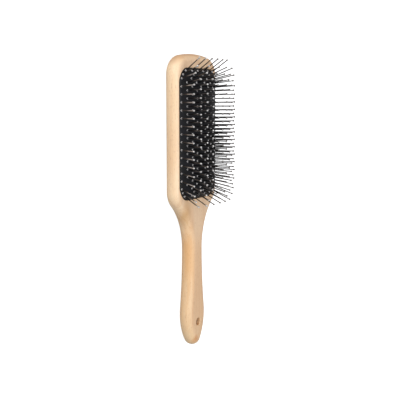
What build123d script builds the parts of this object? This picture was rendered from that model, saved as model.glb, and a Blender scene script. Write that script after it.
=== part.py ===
import os
from math import asin, atan2, cos, degrees, radians, sin, sqrt, tan

from build123d import *

# Vanity hairbrush with a one-piece wooden body, a domed rubber air cushion and
# rows of ball-tipped steel pins. Millimetres. The brush lies on its back:
# +Y runs from the handle to the top of the head, +Z is up along the pins,
# and the origin is at the bottom centre of the whole brush.

# ---------------------------------------------------------------- dimensions
# wooden body
brush_length = 246.0
body_thickness = 12.6
body_rounding = 5.9
head_width = 66.0
head_top_radius = 122.0
head_corner_radius = 16.0
neck_width = 20.0
neck_y = -38.6
shoulder_length = 50.6
shoulder_radius = 17.0
grip_width = 27.8
grip_y = -95.0
grip_end_radius = 7.3

# hanging hole through the end of the grip
hole_y = -102.3
hole_radius = 3.1
hole_easing = 0.9

# pocket in the head, with an undercut groove that holds the cushion's bead
pocket_floor = 6.4
pocket_gap = 0.15
groove_bottom = 8.2
groove_height = 1.8
groove_depth = 1.4
rim_easing = 0.5

# rubber air cushion
pad_width = 57.0
pad_length = 106.6
pad_centre_y = 58.0
pad_corner_radius = 12.0
pad_edge_z = 12.8
dome_height = 6.4
skin_thickness = 1.6
skirt_thickness = 1.0
bead_depth = 1.2
bead_gap = 0.15
vent_radius = 0.6

# cloth backing bonded under the rubber
backing_thickness = 0.5
backing_bond = 0.12
backing_inset = 0.15

# steel pins
wire_radius = 0.42
ball_radius = 0.78
pin_length = 16.5
pin_root = 2.95
pin_head_radius = 0.85
pin_head_thickness = 0.35
pin_hole_gap = 0.05

# how the pins are laid out: staggered rows, the end rows following the corners
row_count = 33
row_spacing = 3.14
rows_centre_y = 58.8
column_count = 11
column_spacing = 5.47
pin_margin = 1.15
spread_rows = 2
top_row_lean = 47.0
top_lean_power = 7
neck_row_lean = 36.0
neck_lean_power = 4
lean_scatter = 0.7

middle_row = (row_count - 1) // 2
half_pad_width = pad_width / 2
half_pad_length = pad_length / 2
os.makedirs("parts", exist_ok=True)


# ------------------------------------------------------------- wooden body
def s_bend(across, along):
    """Turn angle and summed radii of two tangent arcs that join parallel lines."""
    turn = 2 * degrees(atan2(across, along))
    return turn, along / sin(radians(turn))


def half_outline():
    """Right half of the body's plan outline: one straight side and tangent arcs."""
    head_half = head_width / 2
    neck_half = neck_width / 2
    grip_half = grip_width / 2

    # head: a wide arc across the top, a corner and a straight side
    top_centre_y = brush_length / 2 - head_top_radius
    corner_x = head_half - head_corner_radius
    corner_rise = sqrt((head_top_radius - head_corner_radius) ** 2 - corner_x**2)
    corner_y = top_centre_y + corner_rise
    corner_angle = degrees(atan2(corner_rise, corner_x))
    shoulder_y = neck_y + shoulder_length
    CenterArc((0, top_centre_y), head_top_radius, 90, corner_angle - 90)
    CenterArc((corner_x, corner_y), head_corner_radius, corner_angle, -corner_angle)
    Line((head_half, corner_y), (head_half, shoulder_y))

    # shoulder: a rounded corner that flows into the hollow of the neck
    turn, radii = s_bend(head_half - neck_half, shoulder_length)
    hollow_radius = radii - shoulder_radius
    CenterArc((head_half - shoulder_radius, shoulder_y), shoulder_radius, 0, -turn)
    CenterArc((neck_half + hollow_radius, neck_y), hollow_radius, 180 - turn, turn)

    # grip: swells slowly from the neck, then closes in one round end
    end_centre_y = grip_end_radius - brush_length / 2
    end_drop = grip_y - end_centre_y
    narrowing = grip_half - grip_end_radius
    swell_radius = (grip_half**2 + end_drop**2 - grip_end_radius**2) / (2 * narrowing)
    end_angle = degrees(asin(end_drop / (swell_radius - grip_end_radius)))
    turn, radii = s_bend(grip_half - neck_half, neck_y - grip_y)
    waist_radius = radii - swell_radius
    CenterArc((neck_half + waist_radius, neck_y), waist_radius, 180, turn)
    CenterArc((grip_half - swell_radius, grip_y), swell_radius, turn, -turn - end_angle)
    CenterArc((0, end_centre_y), grip_end_radius, -end_angle, end_angle - 90)


def pad_outline(growth):
    """The cushion's rounded rectangle, grown by growth on every side."""
    with Locations((0, pad_centre_y)):
        RectangleRounded(pad_width + 2 * growth, pad_length + 2 * growth, pad_corner_radius + growth)


with BuildPart() as handle_body:
    with BuildSketch():
        with BuildLine():
            half_outline()
            mirror(about=Plane.YZ)
        make_face()
    extrude(amount=body_thickness)
    fillet(handle_body.faces().filter_by(Axis.Z).edges(), body_rounding)

    with BuildSketch(Plane.XY.offset(pocket_floor)):
        pad_outline(pocket_gap)
    extrude(amount=body_thickness, mode=Mode.SUBTRACT)
    pocket_edges = handle_body.edges(Select.LAST)
    fillet(pocket_edges.filter_by_position(Axis.Z, body_thickness - 1, body_thickness), rim_easing)
    with BuildSketch(Plane.XY.offset(groove_bottom)):
        pad_outline(pocket_gap + groove_depth)
    extrude(amount=groove_height, mode=Mode.SUBTRACT)

    with BuildSketch():
        with Locations((0, hole_y)):
            Circle(hole_radius)
    extrude(amount=body_thickness, mode=Mode.SUBTRACT)
    hole_wall = handle_body.faces(Select.LAST).filter_by(GeomType.CYLINDER)
    fillet(hole_wall.edges().filter_by(GeomType.CIRCLE), hole_easing)
handle_body.part.label = "handle_body"
export_step(handle_body.part, "parts/handle_body.step")


# ------------------------------------------------------------- the rubber's dome
def crown(x, y):
    """Height of the rubber's outer face over the pad's edge."""
    across = x / half_pad_width
    along = (y - pad_centre_y) / half_pad_length
    return dome_height * (1 - across**2) * (1 - along**8)


def dome_face(edge_z):
    """The crown as one surface, a little larger than the pad, facing up."""
    steps_across = 8
    steps_along = 16
    reach_x = 1.04 * half_pad_width
    reach_y = 1.02 * half_pad_length
    points = []
    for i in range(steps_across + 1):
        x = reach_x * (2 * i / steps_across - 1)
        ys = [pad_centre_y + reach_y * (2 * j / steps_along - 1) for j in range(steps_along + 1)]
        points.append([(x, y, edge_z + crown(x, y)) for y in ys])
    return Face.make_surface_from_array_of_points(points, tol=0.02, max_deg=8)


# ------------------------------------------------------------- where the pins stand
def row_limit(along):
    """Half-width that pins may fill at a distance along from the pad's middle."""
    corner = pad_corner_radius - pin_margin
    straight = half_pad_length - pad_corner_radius
    inset = corner - sqrt(corner**2 - max(0, along - straight) ** 2)
    return half_pad_width - pin_margin - inset


def row_places(row, row_y):
    """Each pin's foot across one row. Rows are staggered, and the last ones fill the pad's corners."""
    step = row - middle_row
    limit = row_limit(abs(row_y - pad_centre_y))
    count = (column_count + 1 - step % 2) // 2
    half_row = column_spacing * (count - 1)
    if abs(step) > middle_row - spread_rows:
        half_row = limit
    places = [half_row * (2 * i / (count - 1) - 1) for i in range(count)]
    return [max(-limit, min(limit, x)) for x in places]


def pin_location(x, y):
    """A pin's foot on the rubber, with Z along the pin: square to the crown, fanned out at the ends."""
    across = x / half_pad_width
    along = (y - pad_centre_y) / half_pad_length
    side_slope = 2 * dome_height * across * (1 - along**8) / half_pad_width
    if along > 0:
        end_lean = top_row_lean * along**top_lean_power
    else:
        end_lean = -neck_row_lean * abs(along) ** neck_lean_power
    stray_x = lean_scatter * sin(7.3 * x + 2.1 * y)
    stray_y = lean_scatter * cos(3.7 * x + 5.9 * y)
    direction = (side_slope + tan(radians(stray_x)), tan(radians(end_lean + stray_y)), 1)
    return Plane((x, y, pad_edge_z + crown(x, y)), z_dir=direction).location


pin_rows = []
for row in range(row_count):
    row_y = rows_centre_y + (row - middle_row) * row_spacing
    pin_rows.append([pin_location(x, row_y) for x in row_places(row, row_y)])
all_pins = [place for places in pin_rows for place in places]
pin_hole_radius = wire_radius + pin_hole_gap


# ------------------------------------------------------------- rubber cushion
with BuildPart() as air_space:
    with BuildSketch(Plane.XY.offset(pocket_floor)):
        pad_outline(-skirt_thickness)
    extrude(amount=2 * body_thickness)
    split(bisect_by=dome_face(pad_edge_z - skin_thickness), keep=Keep.BOTTOM)

with BuildPart() as cushion:
    skirt_bottom = Plane.XY.offset(groove_bottom + bead_gap)
    with BuildSketch(skirt_bottom):
        pad_outline(0)
    extrude(amount=2 * body_thickness)
    split(bisect_by=dome_face(pad_edge_z), keep=Keep.BOTTOM)
    with BuildSketch(skirt_bottom):
        pad_outline(bead_depth)
    extrude(amount=groove_height - 2 * bead_gap)
    add(air_space.part, mode=Mode.SUBTRACT)
    with Locations(*all_pins):
        Cylinder(pin_hole_radius, 3 * skin_thickness, mode=Mode.SUBTRACT)
    with Locations((0, pad_centre_y, pad_edge_z + dome_height)):
        Cylinder(vent_radius, 3 * skin_thickness, mode=Mode.SUBTRACT)
cushion.part.label = "cushion"
export_step(cushion.part, "parts/cushion.step")


# ------------------------------------------------------------- cloth backing
with BuildPart() as backing_cloth:
    with BuildSketch(Plane.XY.offset(pocket_floor)):
        pad_outline(-skirt_thickness - backing_inset)
    extrude(amount=2 * body_thickness)
    cloth_top = pad_edge_z - skin_thickness - backing_bond
    split(bisect_by=dome_face(cloth_top), keep=Keep.BOTTOM)
    split(bisect_by=dome_face(cloth_top - backing_thickness), keep=Keep.TOP)
    with Locations(*all_pins):
        Cylinder(pin_hole_radius, 3 * pin_root, mode=Mode.SUBTRACT)
backing_cloth.part.label = "backing_cloth"
export_step(backing_cloth.part, "parts/backing_cloth.step")


# ------------------------------------------------------------- pins
with BuildPart() as pin:
    with BuildSketch(Plane.XY.offset(-pin_root)):
        Circle(pin_head_radius)
    extrude(amount=pin_head_thickness)
    with BuildSketch(Plane.XY.offset(-pin_root)):
        Circle(wire_radius)
    extrude(amount=pin_root + pin_length)
    with Locations((0, 0, pin_length)):
        Sphere(ball_radius)

for number, places in enumerate(pin_rows, start=1):
    with BuildPart() as pin_row:
        with Locations(*places):
            add(pin.part)
    pin_row.part.label = f"pin_row_{number:02d}"
    export_step(pin_row.part, f"parts/{pin_row.part.label}.step")
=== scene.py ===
from math import cos, pi, radians, sin, tan

import bmesh
import bpy
from mathutils import Matrix, Vector


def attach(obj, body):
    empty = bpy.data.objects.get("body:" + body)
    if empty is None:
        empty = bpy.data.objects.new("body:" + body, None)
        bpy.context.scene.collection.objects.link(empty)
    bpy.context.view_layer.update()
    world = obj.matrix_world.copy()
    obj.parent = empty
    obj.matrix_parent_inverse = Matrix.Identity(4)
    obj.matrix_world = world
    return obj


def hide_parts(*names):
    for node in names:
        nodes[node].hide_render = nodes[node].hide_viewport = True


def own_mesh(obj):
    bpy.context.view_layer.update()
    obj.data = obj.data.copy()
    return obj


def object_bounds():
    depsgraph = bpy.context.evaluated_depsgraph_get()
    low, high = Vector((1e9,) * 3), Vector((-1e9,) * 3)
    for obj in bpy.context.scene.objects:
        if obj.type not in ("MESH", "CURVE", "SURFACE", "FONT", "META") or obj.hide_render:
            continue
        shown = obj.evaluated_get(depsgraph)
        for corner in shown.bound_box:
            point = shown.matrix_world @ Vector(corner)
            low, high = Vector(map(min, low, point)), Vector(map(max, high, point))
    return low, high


# Looks for the wooden paddle hairbrush. Metres, in the CAD model's own frame: the brush
# lies on its back, +Y runs from the grip's end to the head's top and +Z along the pins.

MM = 0.001

# the camera: square on to the brush's length, turned towards its left side
CAMERA_TURN = radians(58.6)
CAMERA_DISTANCE = 0.6015
CAMERA_ALONG = 0.0875
AIM_ACROSS = 0.0123
AIM_ALONG = 0.0020
CAMERA_LENS = 64.65

# soft lamps: direction as shares of the camera's back, up and right, then metres, metres, watts
LAMPS = {
    "key": ((1.0, 0.55, -0.25), 0.9, 0.6, 4.1, (1.0, 0.985, 0.965)),
    "left": ((0.12, -0.05, -1.0), 1.0, 0.8, 5.3, (1.0, 0.975, 0.94)),
    "front": ((1.0, -0.15, 0.75), 1.0, 0.8, 6.0, (0.98, 0.985, 1.0)),
}
LAMPS_FACE = (0, 0.02, 0.01)
SKY_COLOUR = (0.97, 0.985, 1.0, 1)
SKY_STRENGTH = 0.32

# the floor: half its width, its gap under the brush, and its glow before the lamps reach it
FLOOR_REACH = 30.0
FLOOR_GAP = 0.0002
FLOOR_GLOW = 0.92

# the rubber cushion, as in the CAD model
PAD_HALF_WIDTH = 28.5
PAD_HALF_LENGTH = 53.3
PAD_CENTRE_Y = 58.0
PAD_CORNER = 12.0
PAD_EDGE_Z = 12.8
DOME_HEIGHT = 6.4
SKIN = 1.6
SKIRT = 1.0
BEAD_DEPTH = 1.2
BEAD_BOTTOM = 8.35
BEAD_TOP = 9.85

# how the cushion's mesh is built: rounded lip, eased bead and the spacing of its points
LIP_RADIUS = 0.9
LIP_RISE = 0.42
LIP_STEPS = 6
DOME_MARGIN = LIP_RADIUS + 0.35
BEAD_EASING = 0.3
INNER_CORNER_DROP = 0.2
STATION_SPACING = 0.9
DOME_STEPS = 32
INNER_STEPS = 8

# the collars round the pins: radius and height of each ring, from inside to outside
COLLAR_PROFILE = [
    (0.45, -0.70), (0.45, 0.56), (0.49, 0.66), (0.56, 0.70), (0.63, 0.68), (0.69, 0.60),
    (0.74, 0.44), (0.78, 0.20), (0.84, 0.02), (0.84, -0.70),
]
COLLAR_SIDES = 18

# the pins, as in the CAD model
ROW_COUNT = 33
ROW_SPACING = 3.14
ROWS_CENTRE_Y = 58.8
COLUMN_COUNT = 11
COLUMN_SPACING = 5.47
PIN_MARGIN = 1.15
PIN_LENGTH = 16.5
SPREAD_ROWS = 2
TOP_ROW_LEAN = 47.0
TOP_LEAN_POWER = 7
NECK_ROW_LEAN = 36.0
NECK_LEAN_POWER = 4
LEAN_SCATTER = 0.7
MIDDLE_ROW = (ROW_COUNT - 1) // 2

# how far the ball tips drop: per square millimetre of x, and at the pad's ends
TIP_SIDE_DROP = 0.0063
TIP_END_DROP = 3.6
TIP_END_POWER = 6

# the hanging hole, along the brush
HOLE_Y = -102.3
HOLE_RADIUS = 3.1

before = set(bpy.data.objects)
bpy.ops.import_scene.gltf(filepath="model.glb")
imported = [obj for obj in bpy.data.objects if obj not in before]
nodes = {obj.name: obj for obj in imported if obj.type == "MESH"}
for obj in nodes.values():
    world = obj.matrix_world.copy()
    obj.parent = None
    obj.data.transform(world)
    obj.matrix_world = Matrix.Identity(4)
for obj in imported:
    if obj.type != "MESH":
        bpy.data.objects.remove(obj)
cad_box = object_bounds()
scene = bpy.context.scene


# ------------------------------------------------------------- camera, light, floor
def place_camera():
    """Camera with perspective, level with the brush's length and turned towards its left side."""
    side = Vector((cos(CAMERA_TURN), 0, sin(CAMERA_TURN)))
    away = Vector((-sin(CAMERA_TURN), 0, cos(CAMERA_TURN)))
    place = away * CAMERA_DISTANCE + Vector((0, CAMERA_ALONG, 0))
    target = side * AIM_ACROSS + Vector((0, AIM_ALONG, 0))
    back = (place - target).normalized()
    right = Vector((0, 1, 0)).cross(back).normalized()
    up = back.cross(right)
    data = bpy.data.cameras.new("camera")
    data.sensor_width = 36
    data.lens = CAMERA_LENS
    data.clip_start = 0.02
    camera = bpy.data.objects.new("camera", data)
    turn = Matrix((right, up, back)).transposed()
    camera.matrix_world = Matrix.Translation(place) @ turn.to_4x4()
    scene.collection.objects.link(camera)
    scene.camera = camera
    return right, up, back


def area_light(name, direction, distance, size, power, colour):
    """A square soft light at a distance from the brush's middle, facing it."""
    centre = Vector(LAMPS_FACE)
    data = bpy.data.lights.new(name, "AREA")
    data.shape = "SQUARE"
    data.size = size
    data.energy = power
    data.color = colour
    light = bpy.data.objects.new(name, data)
    direction = direction.normalized()
    light.location = centre + direction * distance
    light.rotation_mode = "QUATERNION"
    light.rotation_quaternion = direction.to_track_quat("Z", "Y")
    scene.collection.objects.link(light)


right, up, back = place_camera()
for name, ((back_share, up_share, right_share), distance, size, power, tint) in LAMPS.items():
    toward = back * back_share + up * up_share + right * right_share
    area_light(name, toward, distance, size, power, tint)


def make_sky():
    """An even sky that lights the brush softly, and looks white to the camera past the floor's edge."""
    world = bpy.data.worlds.new("world")
    scene.world = world
    world.use_nodes = True
    tree = world.node_tree
    sky = tree.nodes["Background"]
    sky.inputs["Color"].default_value = SKY_COLOUR
    sky.inputs["Strength"].default_value = SKY_STRENGTH
    backdrop = tree.nodes.new("ShaderNodeBackground")
    backdrop.inputs["Color"].default_value = (1, 1, 1, 1)
    seen = tree.nodes.new("ShaderNodeLightPath").outputs["Is Camera Ray"]
    blend = tree.nodes.new("ShaderNodeMixShader")
    for output, place in ((seen, 0), (sky.outputs["Background"], 1), (backdrop.outputs["Background"], 2)):
        tree.links.new(output, blend.inputs[place])
    tree.links.new(blend.outputs["Shader"], tree.nodes["World Output"].inputs["Surface"])


make_sky()

scene.view_settings.view_transform = "Standard"
scene.view_settings.look = "None"


# ------------------------------------------------------------- material helpers
class Shader:
    """A material whose nodes are made and joined by name."""

    def __init__(self, name):
        self.material = bpy.data.materials.new(name)
        self.material.use_nodes = True
        self.tree = self.material.node_tree
        self.surface = self.tree.nodes["Principled BSDF"]
        self.place = self.tree.nodes.new("ShaderNodeTexCoord")

    def plug(self, socket, value):
        """Joins an output to a socket, or sets the socket's value."""
        if isinstance(value, bpy.types.NodeSocket):
            self.tree.links.new(value, socket)
        else:
            socket.default_value = value

    def math(self, operation, a, b=0.0, c=0.0, clamp=False):
        made = self.tree.nodes.new("ShaderNodeMath")
        made.operation = operation
        made.use_clamp = clamp
        for socket, value in zip(made.inputs, (a, b, c)):
            self.plug(socket, value)
        return made.outputs[0]

    def vector(self, operation, a, b=(0, 0, 0)):
        made = self.tree.nodes.new("ShaderNodeVectorMath")
        made.operation = operation
        self.plug(made.inputs[0], a)
        self.plug(made.inputs[1], b)
        return made.outputs["Value" if operation in ("LENGTH", "DISTANCE", "DOT_PRODUCT") else "Vector"]

    def stretched(self, per_mm):
        """Object coordinates multiplied by per_mm, which is in steps per millimetre."""
        return self.vector("MULTIPLY", self.place.outputs["Object"], [v / MM for v in per_mm])

    def noise(self, coordinates, detail=2.0, rough=0.5, scale=1.0, distortion=0.0):
        made = self.tree.nodes.new("ShaderNodeTexNoise")
        self.plug(made.inputs["Vector"], coordinates)
        made.inputs["Scale"].default_value = scale
        made.inputs["Detail"].default_value = detail
        made.inputs["Roughness"].default_value = rough
        made.inputs["Distortion"].default_value = distortion
        return made.outputs["Fac"]

    def between(self, value, low, high, out_low=0.0, out_high=1.0):
        """Smooth step from out_low at low to out_high at high."""
        made = self.tree.nodes.new("ShaderNodeMapRange")
        made.interpolation_type = "SMOOTHSTEP"
        for socket, part in zip(made.inputs, (value, low, high, out_low, out_high)):
            self.plug(socket, part)
        return made.outputs[0]

    def mix(self, share, a, b, blend="MIX"):
        made = self.tree.nodes.new("ShaderNodeMix")
        made.data_type = "RGBA"
        made.blend_type = blend
        self.plug(made.inputs["Factor"], share)
        self.plug(made.inputs[6], a)
        self.plug(made.inputs[7], b)
        return made.outputs[2]

    def tint(self, tone, mask, amount, other):
        """Tone turned towards another colour by amount where the mask is 1."""
        return self.mix(self.math("MULTIPLY", mask, amount), tone, other)

    def axes(self, vector):
        made = self.tree.nodes.new("ShaderNodeSeparateXYZ")
        self.plug(made.inputs[0], vector)
        return made.outputs[0], made.outputs[1], made.outputs[2]

    def bump(self, height, distance, strength=1.0, normal=None):
        made = self.tree.nodes.new("ShaderNodeBump")
        made.inputs["Distance"].default_value = distance
        made.inputs["Strength"].default_value = strength
        self.plug(made.inputs["Height"], height)
        if normal is not None:
            self.plug(made.inputs["Normal"], normal)
        return made.outputs[0]

    def blob(self, centre, reach):
        """1 at a point, falling to 0 at reach, both in millimetres, with reach given per axis."""
        offset = self.vector("SUBTRACT", self.stretched((1, 1, 1)), centre)
        scaled = self.vector("DIVIDE", offset, reach)
        return self.between(self.vector("LENGTH", scaled), 0.15, 1.0, 1.0, 0.0)

    def finish(self, **inputs):
        for name, value in inputs.items():
            self.plug(self.surface.inputs[name.replace("_", " ")], value)
        return self.material


def colour(red, green, blue):
    """Linear colour from 0 to 255 sRGB values."""
    def linear(v):
        v /= 255
        return v / 12.92 if v <= 0.04045 else ((v + 0.055) / 1.055) ** 2.4

    return linear(red), linear(green), linear(blue), 1.0


# ------------------------------------------------------------- beech
def beech():
    s = Shader("beech_satin")
    here = s.stretched((1, 1, 1))
    y = s.axes(here)[1]
    facing_y, facing_z = s.axes(s.place.outputs["Normal"])[1:]

    # growth rings round an axis below and beside the board, warped a little along the grain
    warp = s.noise(s.stretched((0.035, 0.006, 0.035)), detail=2)
    flat = s.vector("MULTIPLY", here, (1, 0, 1))
    radius = s.vector("DISTANCE", flat, (34, 0, -62))
    ring = s.math("ADD", s.math("MULTIPLY", radius, 0.42), s.math("MULTIPLY", warp, 9.0))
    ring_place = s.tree.nodes.new("ShaderNodeCombineXYZ")
    s.plug(ring_place.inputs[0], ring)
    s.plug(ring_place.inputs[1], s.math("MULTIPLY", y, 0.004))
    rings = s.noise(ring_place.outputs[0], detail=3, rough=0.55)
    streaks = s.noise(s.stretched((0.85, 0.018, 0.85)), detail=4, rough=0.6)
    fibres = s.noise(s.stretched((5.5, 0.16, 5.5)), detail=3, rough=0.65)
    flecks = s.noise(s.stretched((2.6, 0.34, 2.6)), detail=1, rough=0.4)
    fleck = s.between(flecks, 0.62, 0.72)
    clouds = s.noise(s.stretched((0.05, 0.016, 0.05)), detail=2)

    # the head is palest, and the grip a warmer tone
    cloud = s.between(clouds, 0.35, 0.65)
    head_tone = s.mix(cloud, colour(255, 226, 189), colour(251, 218, 180))
    grip_tone = s.mix(cloud, colour(245, 206, 160), colour(238, 197, 151))
    end_tone = s.mix(cloud, colour(252, 218, 172), colour(240, 202, 154))
    tone = s.mix(s.between(y, -120, -92), end_tone, grip_tone)
    tone = s.mix(s.between(y, -50, -5), tone, head_tone)
    shoulder = s.blob((2, -14, 9), (34, 26, 20))
    tone = s.tint(tone, shoulder, 0.5, colour(255, 226, 190))
    tone = s.mix(s.between(rings, 0.42, 0.66, 0.0, 0.55), tone, colour(232, 186, 138))
    tone = s.mix(s.between(streaks, 0.40, 0.68, 0.0, 0.40), tone, colour(253, 229, 192))

    # painted shade: the flat front, facing along the pins, a touch pinker and darker than the rounded
    # sides; the faces towards the head's top end more orange
    front = s.between(s.math("ABSOLUTE", facing_z), 0.80, 0.98)
    tone = s.tint(tone, front, 0.34, colour(228, 184, 152))
    top_end_faces = s.between(facing_y, 0.30, 0.90)
    tone = s.tint(tone, top_end_faces, 0.62, colour(216, 164, 116))

    # a stained streak on the shoulder, an orange band down the neck, a knot by the grip's end
    wander = s.math("MULTIPLY", s.noise(s.stretched((0.16, 0.05, 0.16)), detail=3), 1.6)
    stain = s.math("MULTIPLY", s.blob((-17, -6, 9), (9, 24, 12)), wander, clamp=True)
    tone = s.tint(tone, stain, 0.75, colour(204, 152, 88))
    neck_band = s.math("MULTIPLY", s.blob((-10, -41, 9), (7, 46, 12)), wander, clamp=True)
    tone = s.tint(tone, neck_band, 0.60, colour(234, 176, 112))
    knot = s.blob((-3.5, -116.5, 10), (4.5, 5.5, 9))
    speckle = s.between(s.noise(s.stretched((0.9, 0.55, 0.9)), detail=2), 0.35, 0.62)
    tone = s.tint(tone, knot, 0.55, colour(226, 158, 96))
    tone = s.tint(tone, s.math("MULTIPLY", knot, speckle), 0.5, colour(190, 122, 70))

    # fine fibres and the short dark flecks that beech has
    tone = s.mix(s.between(fibres, 0.35, 0.75, 0.0, 0.16), tone, colour(196, 146, 100))
    tone = s.tint(tone, fleck, 0.30, colour(172, 118, 76))

    # painted shade on the hole's wall, fading out within a millimetre round its mouth
    offset = s.vector("SUBTRACT", here, (0, HOLE_Y, 0))
    from_hole = s.vector("LENGTH", s.vector("MULTIPLY", offset, (1, 1, 0)))
    hole_painted_shade = s.between(from_hole, HOLE_RADIUS + 0.15, HOLE_RADIUS + 1.0, 1.0, 0.0)
    tone = s.tint(tone, hole_painted_shade, 0.35, colour(200, 154, 108))

    grain = s.math("ADD", s.math("MULTIPLY", fibres, 0.6), s.math("MULTIPLY", fleck, -0.5))
    relief = s.bump(grain, 0.00005, 0.5)
    relief = s.bump(s.noise(s.stretched((0.10, 0.03, 0.10)), detail=1), 0.0004, 0.25, relief)
    handled = s.noise(s.stretched((0.07, 0.05, 0.07)), detail=3)
    rough = s.math("ADD", s.between(handled, 0.3, 0.7, 0.40, 0.52), s.math("MULTIPLY", fleck, 0.08))
    return s.finish(
        Base_Color=tone, Roughness=rough, Normal=relief, Specular_IOR_Level=0.45,
        Coat_Weight=0.12, Coat_Roughness=0.32,
    )


# ------------------------------------------------------------- rubber
def rubber():
    s = Shader("black_rubber")
    grain = s.noise(s.stretched((4.5, 4.5, 4.5)), detail=3, rough=0.6)
    cast = s.noise(s.stretched((0.18, 0.10, 0.18)), detail=3)
    dust = s.noise(s.stretched((1.3, 1.3, 1.3)), detail=4, rough=0.7)
    tone = s.mix(s.between(cast, 0.35, 0.65), colour(11, 11, 13), colour(14, 14, 20))
    tone = s.mix(s.between(dust, 0.60, 0.80, 0.0, 0.30), tone, colour(58, 57, 62))
    rough = s.between(cast, 0.3, 0.7, 0.42, 0.55)
    relief = s.bump(grain, 0.00003, 0.6)
    relief = s.bump(cast, 0.0002, 0.3, relief)
    return s.finish(Base_Color=tone, Roughness=rough, Normal=relief, Specular_IOR_Level=0.26)


def collar_painted_highlight():
    """The collars round the pins, pale grey as a painted highlight at each pin's foot."""
    s = Shader("collar_painted_highlight")
    collar_mottle = s.noise(s.stretched((0.9, 0.9, 0.9)), detail=3, rough=0.6)
    grain = s.noise(s.stretched((6.0, 6.0, 6.0)), detail=2)
    tone = s.mix(s.between(collar_mottle, 0.35, 0.65), colour(168, 165, 166), colour(206, 203, 203))
    rough = s.between(collar_mottle, 0.3, 0.7, 0.25, 0.40)
    relief = s.bump(grain, 0.00002, 0.6)
    return s.finish(Base_Color=tone, Roughness=rough, Normal=relief, Specular_IOR_Level=0.6)


# ------------------------------------------------------------- steel
def steel():
    s = Shader("nickel_plated_steel")
    x, y, z = s.axes(s.stretched((1, 1, 1)))

    # the surface that the ball tips' centres lie on: lower towards the sides and the two ends
    from_middle = s.math("SUBTRACT", y, PAD_CENTRE_Y)
    along = s.math("ABSOLUTE", s.math("DIVIDE", from_middle, PAD_HALF_LENGTH))
    end_drop = s.math("MULTIPLY", s.math("POWER", along, TIP_END_POWER), TIP_END_DROP)
    side_drop = s.math("MULTIPLY", s.math("MULTIPLY", x, x), TIP_SIDE_DROP)
    middle_tip = PAD_EDGE_Z + DOME_HEIGHT + PIN_LENGTH
    tip_height = s.math("SUBTRACT", s.math("SUBTRACT", middle_tip, end_drop), side_drop)
    below = s.math("SUBTRACT", tip_height, z)
    ball = s.between(below, 0.60, 0.85, 1.0, 0.0)
    root_painted_shade = s.between(below, 0.32 * PIN_LENGTH, 0.66 * PIN_LENGTH)

    # one steel for every pin, with painted light: a painted highlight on the first column's outer wires,
    # painted shade on the wires across the pad, at its ends and near the rubber, and painted highlights on
    # the ball tips
    drawn = s.noise(s.stretched((9.0, 9.0, 0.5)), detail=2, rough=0.6)
    tarnish = s.noise(s.stretched((0.35, 0.22, 0.12)), detail=3)
    tone = s.mix(s.between(tarnish, 0.35, 0.7), colour(204, 202, 206), colour(166, 164, 168))
    # painted shade: the wires darkened everywhere but the first column's outer part
    inward_painted_shade = s.between(x, -31, -28, 0.0, 0.75)
    tone = s.mix(inward_painted_shade, tone, colour(70, 64, 60))
    # painted shade: the wires duller towards the pad's two ends
    tone = s.mix(s.between(along, 0.84, 0.94, 0.0, 0.85), tone, colour(104, 94, 86))
    # painted shade: the wires nearly black near the rubber
    tone = s.tint(tone, root_painted_shade, 0.9, colour(38, 36, 37))
    # painted highlight: the ball tips paler than the wire, palest in the near columns
    ball_highlight_tone = s.mix(s.between(x, -13, -4), colour(228, 226, 225), colour(158, 153, 149))
    tone = s.mix(ball, tone, ball_highlight_tone)
    rough = s.math("ADD", s.between(tarnish, 0.3, 0.7, 0.22, 0.36), s.math("MULTIPLY", drawn, 0.08))
    rough = s.math("ADD", rough, s.math("MULTIPLY", ball, 0.10))
    relief = s.bump(drawn, 0.00001, 0.5)
    return s.finish(Base_Color=tone, Metallic=1.0, Roughness=rough, Normal=relief)


# ------------------------------------------------------------- cotton
def cotton():
    s = Shader("woven_cotton")
    x, y = s.axes(s.stretched((1, 1, 1)))[:2]
    threads = []
    for across in (x, y):
        threads.append(s.math("SINE", s.math("MULTIPLY", across, 2 * pi / 0.45)))
    weave = s.math("MULTIPLY", threads[0], threads[1])
    slub = s.noise(s.stretched((0.8, 0.8, 0.8)), detail=4, rough=0.7)
    tone = s.mix(s.between(weave, -0.6, 0.6), colour(196, 188, 172), colour(226, 220, 206))
    tone = s.mix(s.between(slub, 0.4, 0.7, 0.0, 0.4), tone, colour(178, 166, 146))
    relief = s.bump(weave, 0.0001, 0.8)
    rough = s.between(slub, 0.3, 0.7, 0.82, 0.95)
    return s.finish(Base_Color=tone, Roughness=rough, Normal=relief)


def crown(x, y):
    """Height of the rubber over the pad's edge, in millimetres."""
    across = x / PAD_HALF_WIDTH
    along = (y - PAD_CENTRE_Y) / PAD_HALF_LENGTH
    return DOME_HEIGHT * (1 - across**2) * (1 - along**8)


# ------------------------------------------------------------- where the pins stand
def row_limit(along):
    """Half-width that pins may fill at a distance along from the pad's middle."""
    corner = PAD_CORNER - PIN_MARGIN
    straight = PAD_HALF_LENGTH - PAD_CORNER
    inset = corner - (corner**2 - max(0, along - straight) ** 2) ** 0.5
    return PAD_HALF_WIDTH - PIN_MARGIN - inset


def row_places(row, row_y):
    """Each pin's foot across one row, as in the CAD model."""
    step = row - MIDDLE_ROW
    limit = row_limit(abs(row_y - PAD_CENTRE_Y))
    count = (COLUMN_COUNT + 1 - step % 2) // 2
    half_row = COLUMN_SPACING * (count - 1)
    if abs(step) > MIDDLE_ROW - SPREAD_ROWS:
        half_row = limit
    places = [half_row * (2 * i / (count - 1) - 1) for i in range(count)]
    return [max(-limit, min(limit, x)) for x in places]


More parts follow.
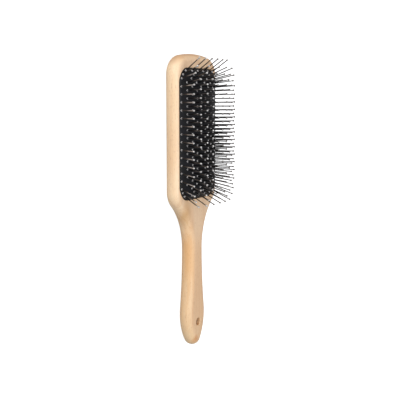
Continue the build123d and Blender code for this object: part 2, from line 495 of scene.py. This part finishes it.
def pin_frame(x, y):
    """A pin's foot on the rubber and its direction, in millimetres."""
    across = x / PAD_HALF_WIDTH
    along = (y - PAD_CENTRE_Y) / PAD_HALF_LENGTH
    side_slope = 2 * DOME_HEIGHT * across * (1 - along**8) / PAD_HALF_WIDTH
    if along > 0:
        end_lean = TOP_ROW_LEAN * along**TOP_LEAN_POWER
    else:
        end_lean = -NECK_ROW_LEAN * abs(along) ** NECK_LEAN_POWER
    stray_x = LEAN_SCATTER * sin(7.3 * x + 2.1 * y)
    stray_y = LEAN_SCATTER * cos(3.7 * x + 5.9 * y)
    direction = Vector((side_slope + tan(radians(stray_x)), tan(radians(end_lean + stray_y)), 1))
    return Vector((x, y, PAD_EDGE_Z + crown(x, y))), direction.normalized()


# ------------------------------------------------------------- the rubber cushion's mesh
def outline_stations(spacing):
    """Points and outward directions round the pad's outline, about spacing apart."""
    core_x = PAD_HALF_WIDTH - PAD_CORNER
    core_y = PAD_HALF_LENGTH - PAD_CORNER
    stations = []
    for quarter in range(4):
        start = quarter * pi / 2
        sign_x = (1, -1, -1, 1)[quarter]
        sign_y = (1, 1, -1, -1)[quarter]
        steps = round(PAD_CORNER * pi / 2 / spacing)
        for i in range(steps):
            angle = start + pi / 2 * i / steps
            out = Vector((cos(angle), sin(angle)))
            stations.append((Vector((sign_x * core_x, sign_y * core_y)) + PAD_CORNER * out, out))
        out = Vector((cos(start + pi / 2), sin(start + pi / 2)))
        begin = Vector((sign_x * core_x, sign_y * core_y)) + PAD_CORNER * out
        run = 2 * (core_x if quarter % 2 == 0 else core_y)
        heading = Vector((-out.y, out.x))
        steps = round(run / spacing)
        for i in range(steps):
            stations.append((begin + heading * run * i / steps, out))
    return stations


def make_cushion():
    """The air cushion: domed skin with a rounded lip, skirt and bead, and a collar at every pin."""
    stations = outline_stations(STATION_SPACING)
    spine_end = PAD_HALF_LENGTH - PAD_HALF_WIDTH
    mesh = bmesh.new()

    def ring(flat_points, height):
        return [mesh.verts.new((p.x * MM, (p.y + PAD_CENTRE_Y) * MM, height(p) * MM)) for p in flat_points]

    def inset(distance):
        return [p - out * distance for p, out in stations]

    def domed(edge, share):
        points = []
        for p, out in stations:
            rim = p - out * edge
            spine = Vector((0, max(-spine_end, min(spine_end, rim.y))))
            points.append(spine + (rim - spine) * share)
        return points

    def outer(p):
        return PAD_EDGE_Z + crown(p.x, p.y + PAD_CENTRE_Y)

    def inner(p):
        return outer(p) - SKIN

    # outer dome, rounded lip, skirt and bead, then the inner dome
    rings = []
    for i in range(1, DOME_STEPS + 1):
        rings.append(ring(domed(DOME_MARGIN, i / DOME_STEPS), outer))
    for i in range(LIP_STEPS + 1):
        angle = pi / 2 * i / LIP_STEPS
        drop = LIP_RADIUS * (1 - cos(angle))
        points = inset(LIP_RADIUS * (1 - sin(angle)))
        rings.append(ring(points, lambda p: min(outer(p), PAD_EDGE_Z + LIP_RISE) - drop))
    for distance, height in (
        (0, BEAD_TOP),
        (BEAD_EASING - BEAD_DEPTH, BEAD_TOP),
        (-BEAD_DEPTH, BEAD_TOP - BEAD_EASING),
        (-BEAD_DEPTH, BEAD_BOTTOM + BEAD_EASING),
        (BEAD_EASING - BEAD_DEPTH, BEAD_BOTTOM),
        (SKIRT, BEAD_BOTTOM),
    ):
        rings.append(ring(inset(distance), lambda p: height))
    rings.append(ring(inset(SKIRT), lambda p: PAD_EDGE_Z - SKIN - INNER_CORNER_DROP))
    for i in range(INNER_STEPS, 0, -1):
        rings.append(ring(domed(SKIRT, i / INNER_STEPS), inner))
    for first, second in zip(rings, rings[1:]):
        for i in range(len(first)):
            j = (i + 1) % len(first)
            mesh.faces.new((first[i], first[j], second[j], second[i]))

    def spine_y(vertex):
        return max(-spine_end, min(spine_end, vertex.co.y / MM - PAD_CENTRE_Y))

    # each dome closes along its own spine
    for last, height, flip in ((rings[0], outer, False), (rings[-1], inner, True)):
        spine = {}
        for v in last:
            y = spine_y(v)
            key = round(y, 3)
            if key not in spine:
                point = Vector((0, y))
                spine[key] = mesh.verts.new((0, (y + PAD_CENTRE_Y) * MM, height(point) * MM))
        for v, w in zip(last, last[1:] + last[:1]):
            a = spine[round(spine_y(v), 3)]
            b = spine[round(spine_y(w), 3)]
            corners = (a, b, w, v) if a is not b else (a, w, v)
            mesh.faces.new(corners[::-1] if flip else corners)

    add_collars(mesh)
    bmesh.ops.recalc_face_normals(mesh, faces=mesh.faces)
    data = bpy.data.meshes.new("air_cushion")
    mesh.to_mesh(data)
    mesh.free()
    for polygon in data.polygons:
        polygon.use_smooth = True
    cushion = bpy.data.objects.new("air_cushion", data)
    scene.collection.objects.link(cushion)
    return cushion


def add_collars(mesh):
    """A small moulded collar round each pin's foot, standing along the pin."""
    for row in range(ROW_COUNT):
        row_y = ROWS_CENTRE_Y + (row - MIDDLE_ROW) * ROW_SPACING
        for x in row_places(row, row_y):
            foot, direction = pin_frame(x, row_y)
            turn = direction.to_track_quat("Z", "Y")
            loops = []
            for radius, height in COLLAR_PROFILE:
                loop = []
                for i in range(COLLAR_SIDES):
                    angle = 2 * pi * i / COLLAR_SIDES
                    local = Vector((radius * cos(angle), radius * sin(angle), height))
                    loop.append(mesh.verts.new((foot + turn @ local) * MM))
                loops.append(loop)
            for first, second in zip(loops, loops[1:] + loops[:1]):
                for i in range(COLLAR_SIDES):
                    j = (i + 1) % COLLAR_SIDES
                    face = mesh.faces.new((first[i], first[j], second[j], second[i]))
                    face.material_index = 1


# ------------------------------------------------------------- put together
beech_material = beech()
rubber_material = rubber()
steel_material = steel()
cotton_material = cotton()

cushion = make_cushion()
cushion.data.materials.append(rubber_material)
cushion.data.materials.append(collar_painted_highlight())
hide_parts("cushion")
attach(cushion, "handle")
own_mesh(cushion)

own_materials = {"handle_body": beech_material, "backing_cloth": cotton_material}
for name, node in nodes.items():
    if name == "cushion":
        continue
    material = own_materials.get(name, steel_material)
    node.data.materials.clear()
    node.data.materials.append(material)


# ------------------------------------------------------------- floor
def make_floor():
    """A plain pale floor, which looks white to the camera and lights the brush from below."""
    mesh = bmesh.new()
    bmesh.ops.create_grid(mesh, x_segments=1, y_segments=1, size=FLOOR_REACH)
    data = bpy.data.meshes.new("floor")
    mesh.to_mesh(data)
    mesh.free()
    floor = bpy.data.objects.new("floor", data)
    floor.location.z = cad_box[0].z - FLOOR_GAP
    scene.collection.objects.link(floor)
    s = Shader("pale_floor")
    paper = s.noise(s.stretched((0.02, 0.02, 0.02)), detail=3)
    tone = s.mix(paper, colour(192, 192, 192), colour(197, 197, 197))
    seen = s.tree.nodes.new("ShaderNodeLightPath").outputs["Is Camera Ray"]
    s.finish(
        Base_Color=tone, Roughness=0.9, Specular_IOR_Level=0.1, Emission_Color=(1, 1, 1, 1),
        Emission_Strength=s.math("MULTIPLY", seen, FLOOR_GLOW),
    )
    data.materials.append(s.material)


make_floor()
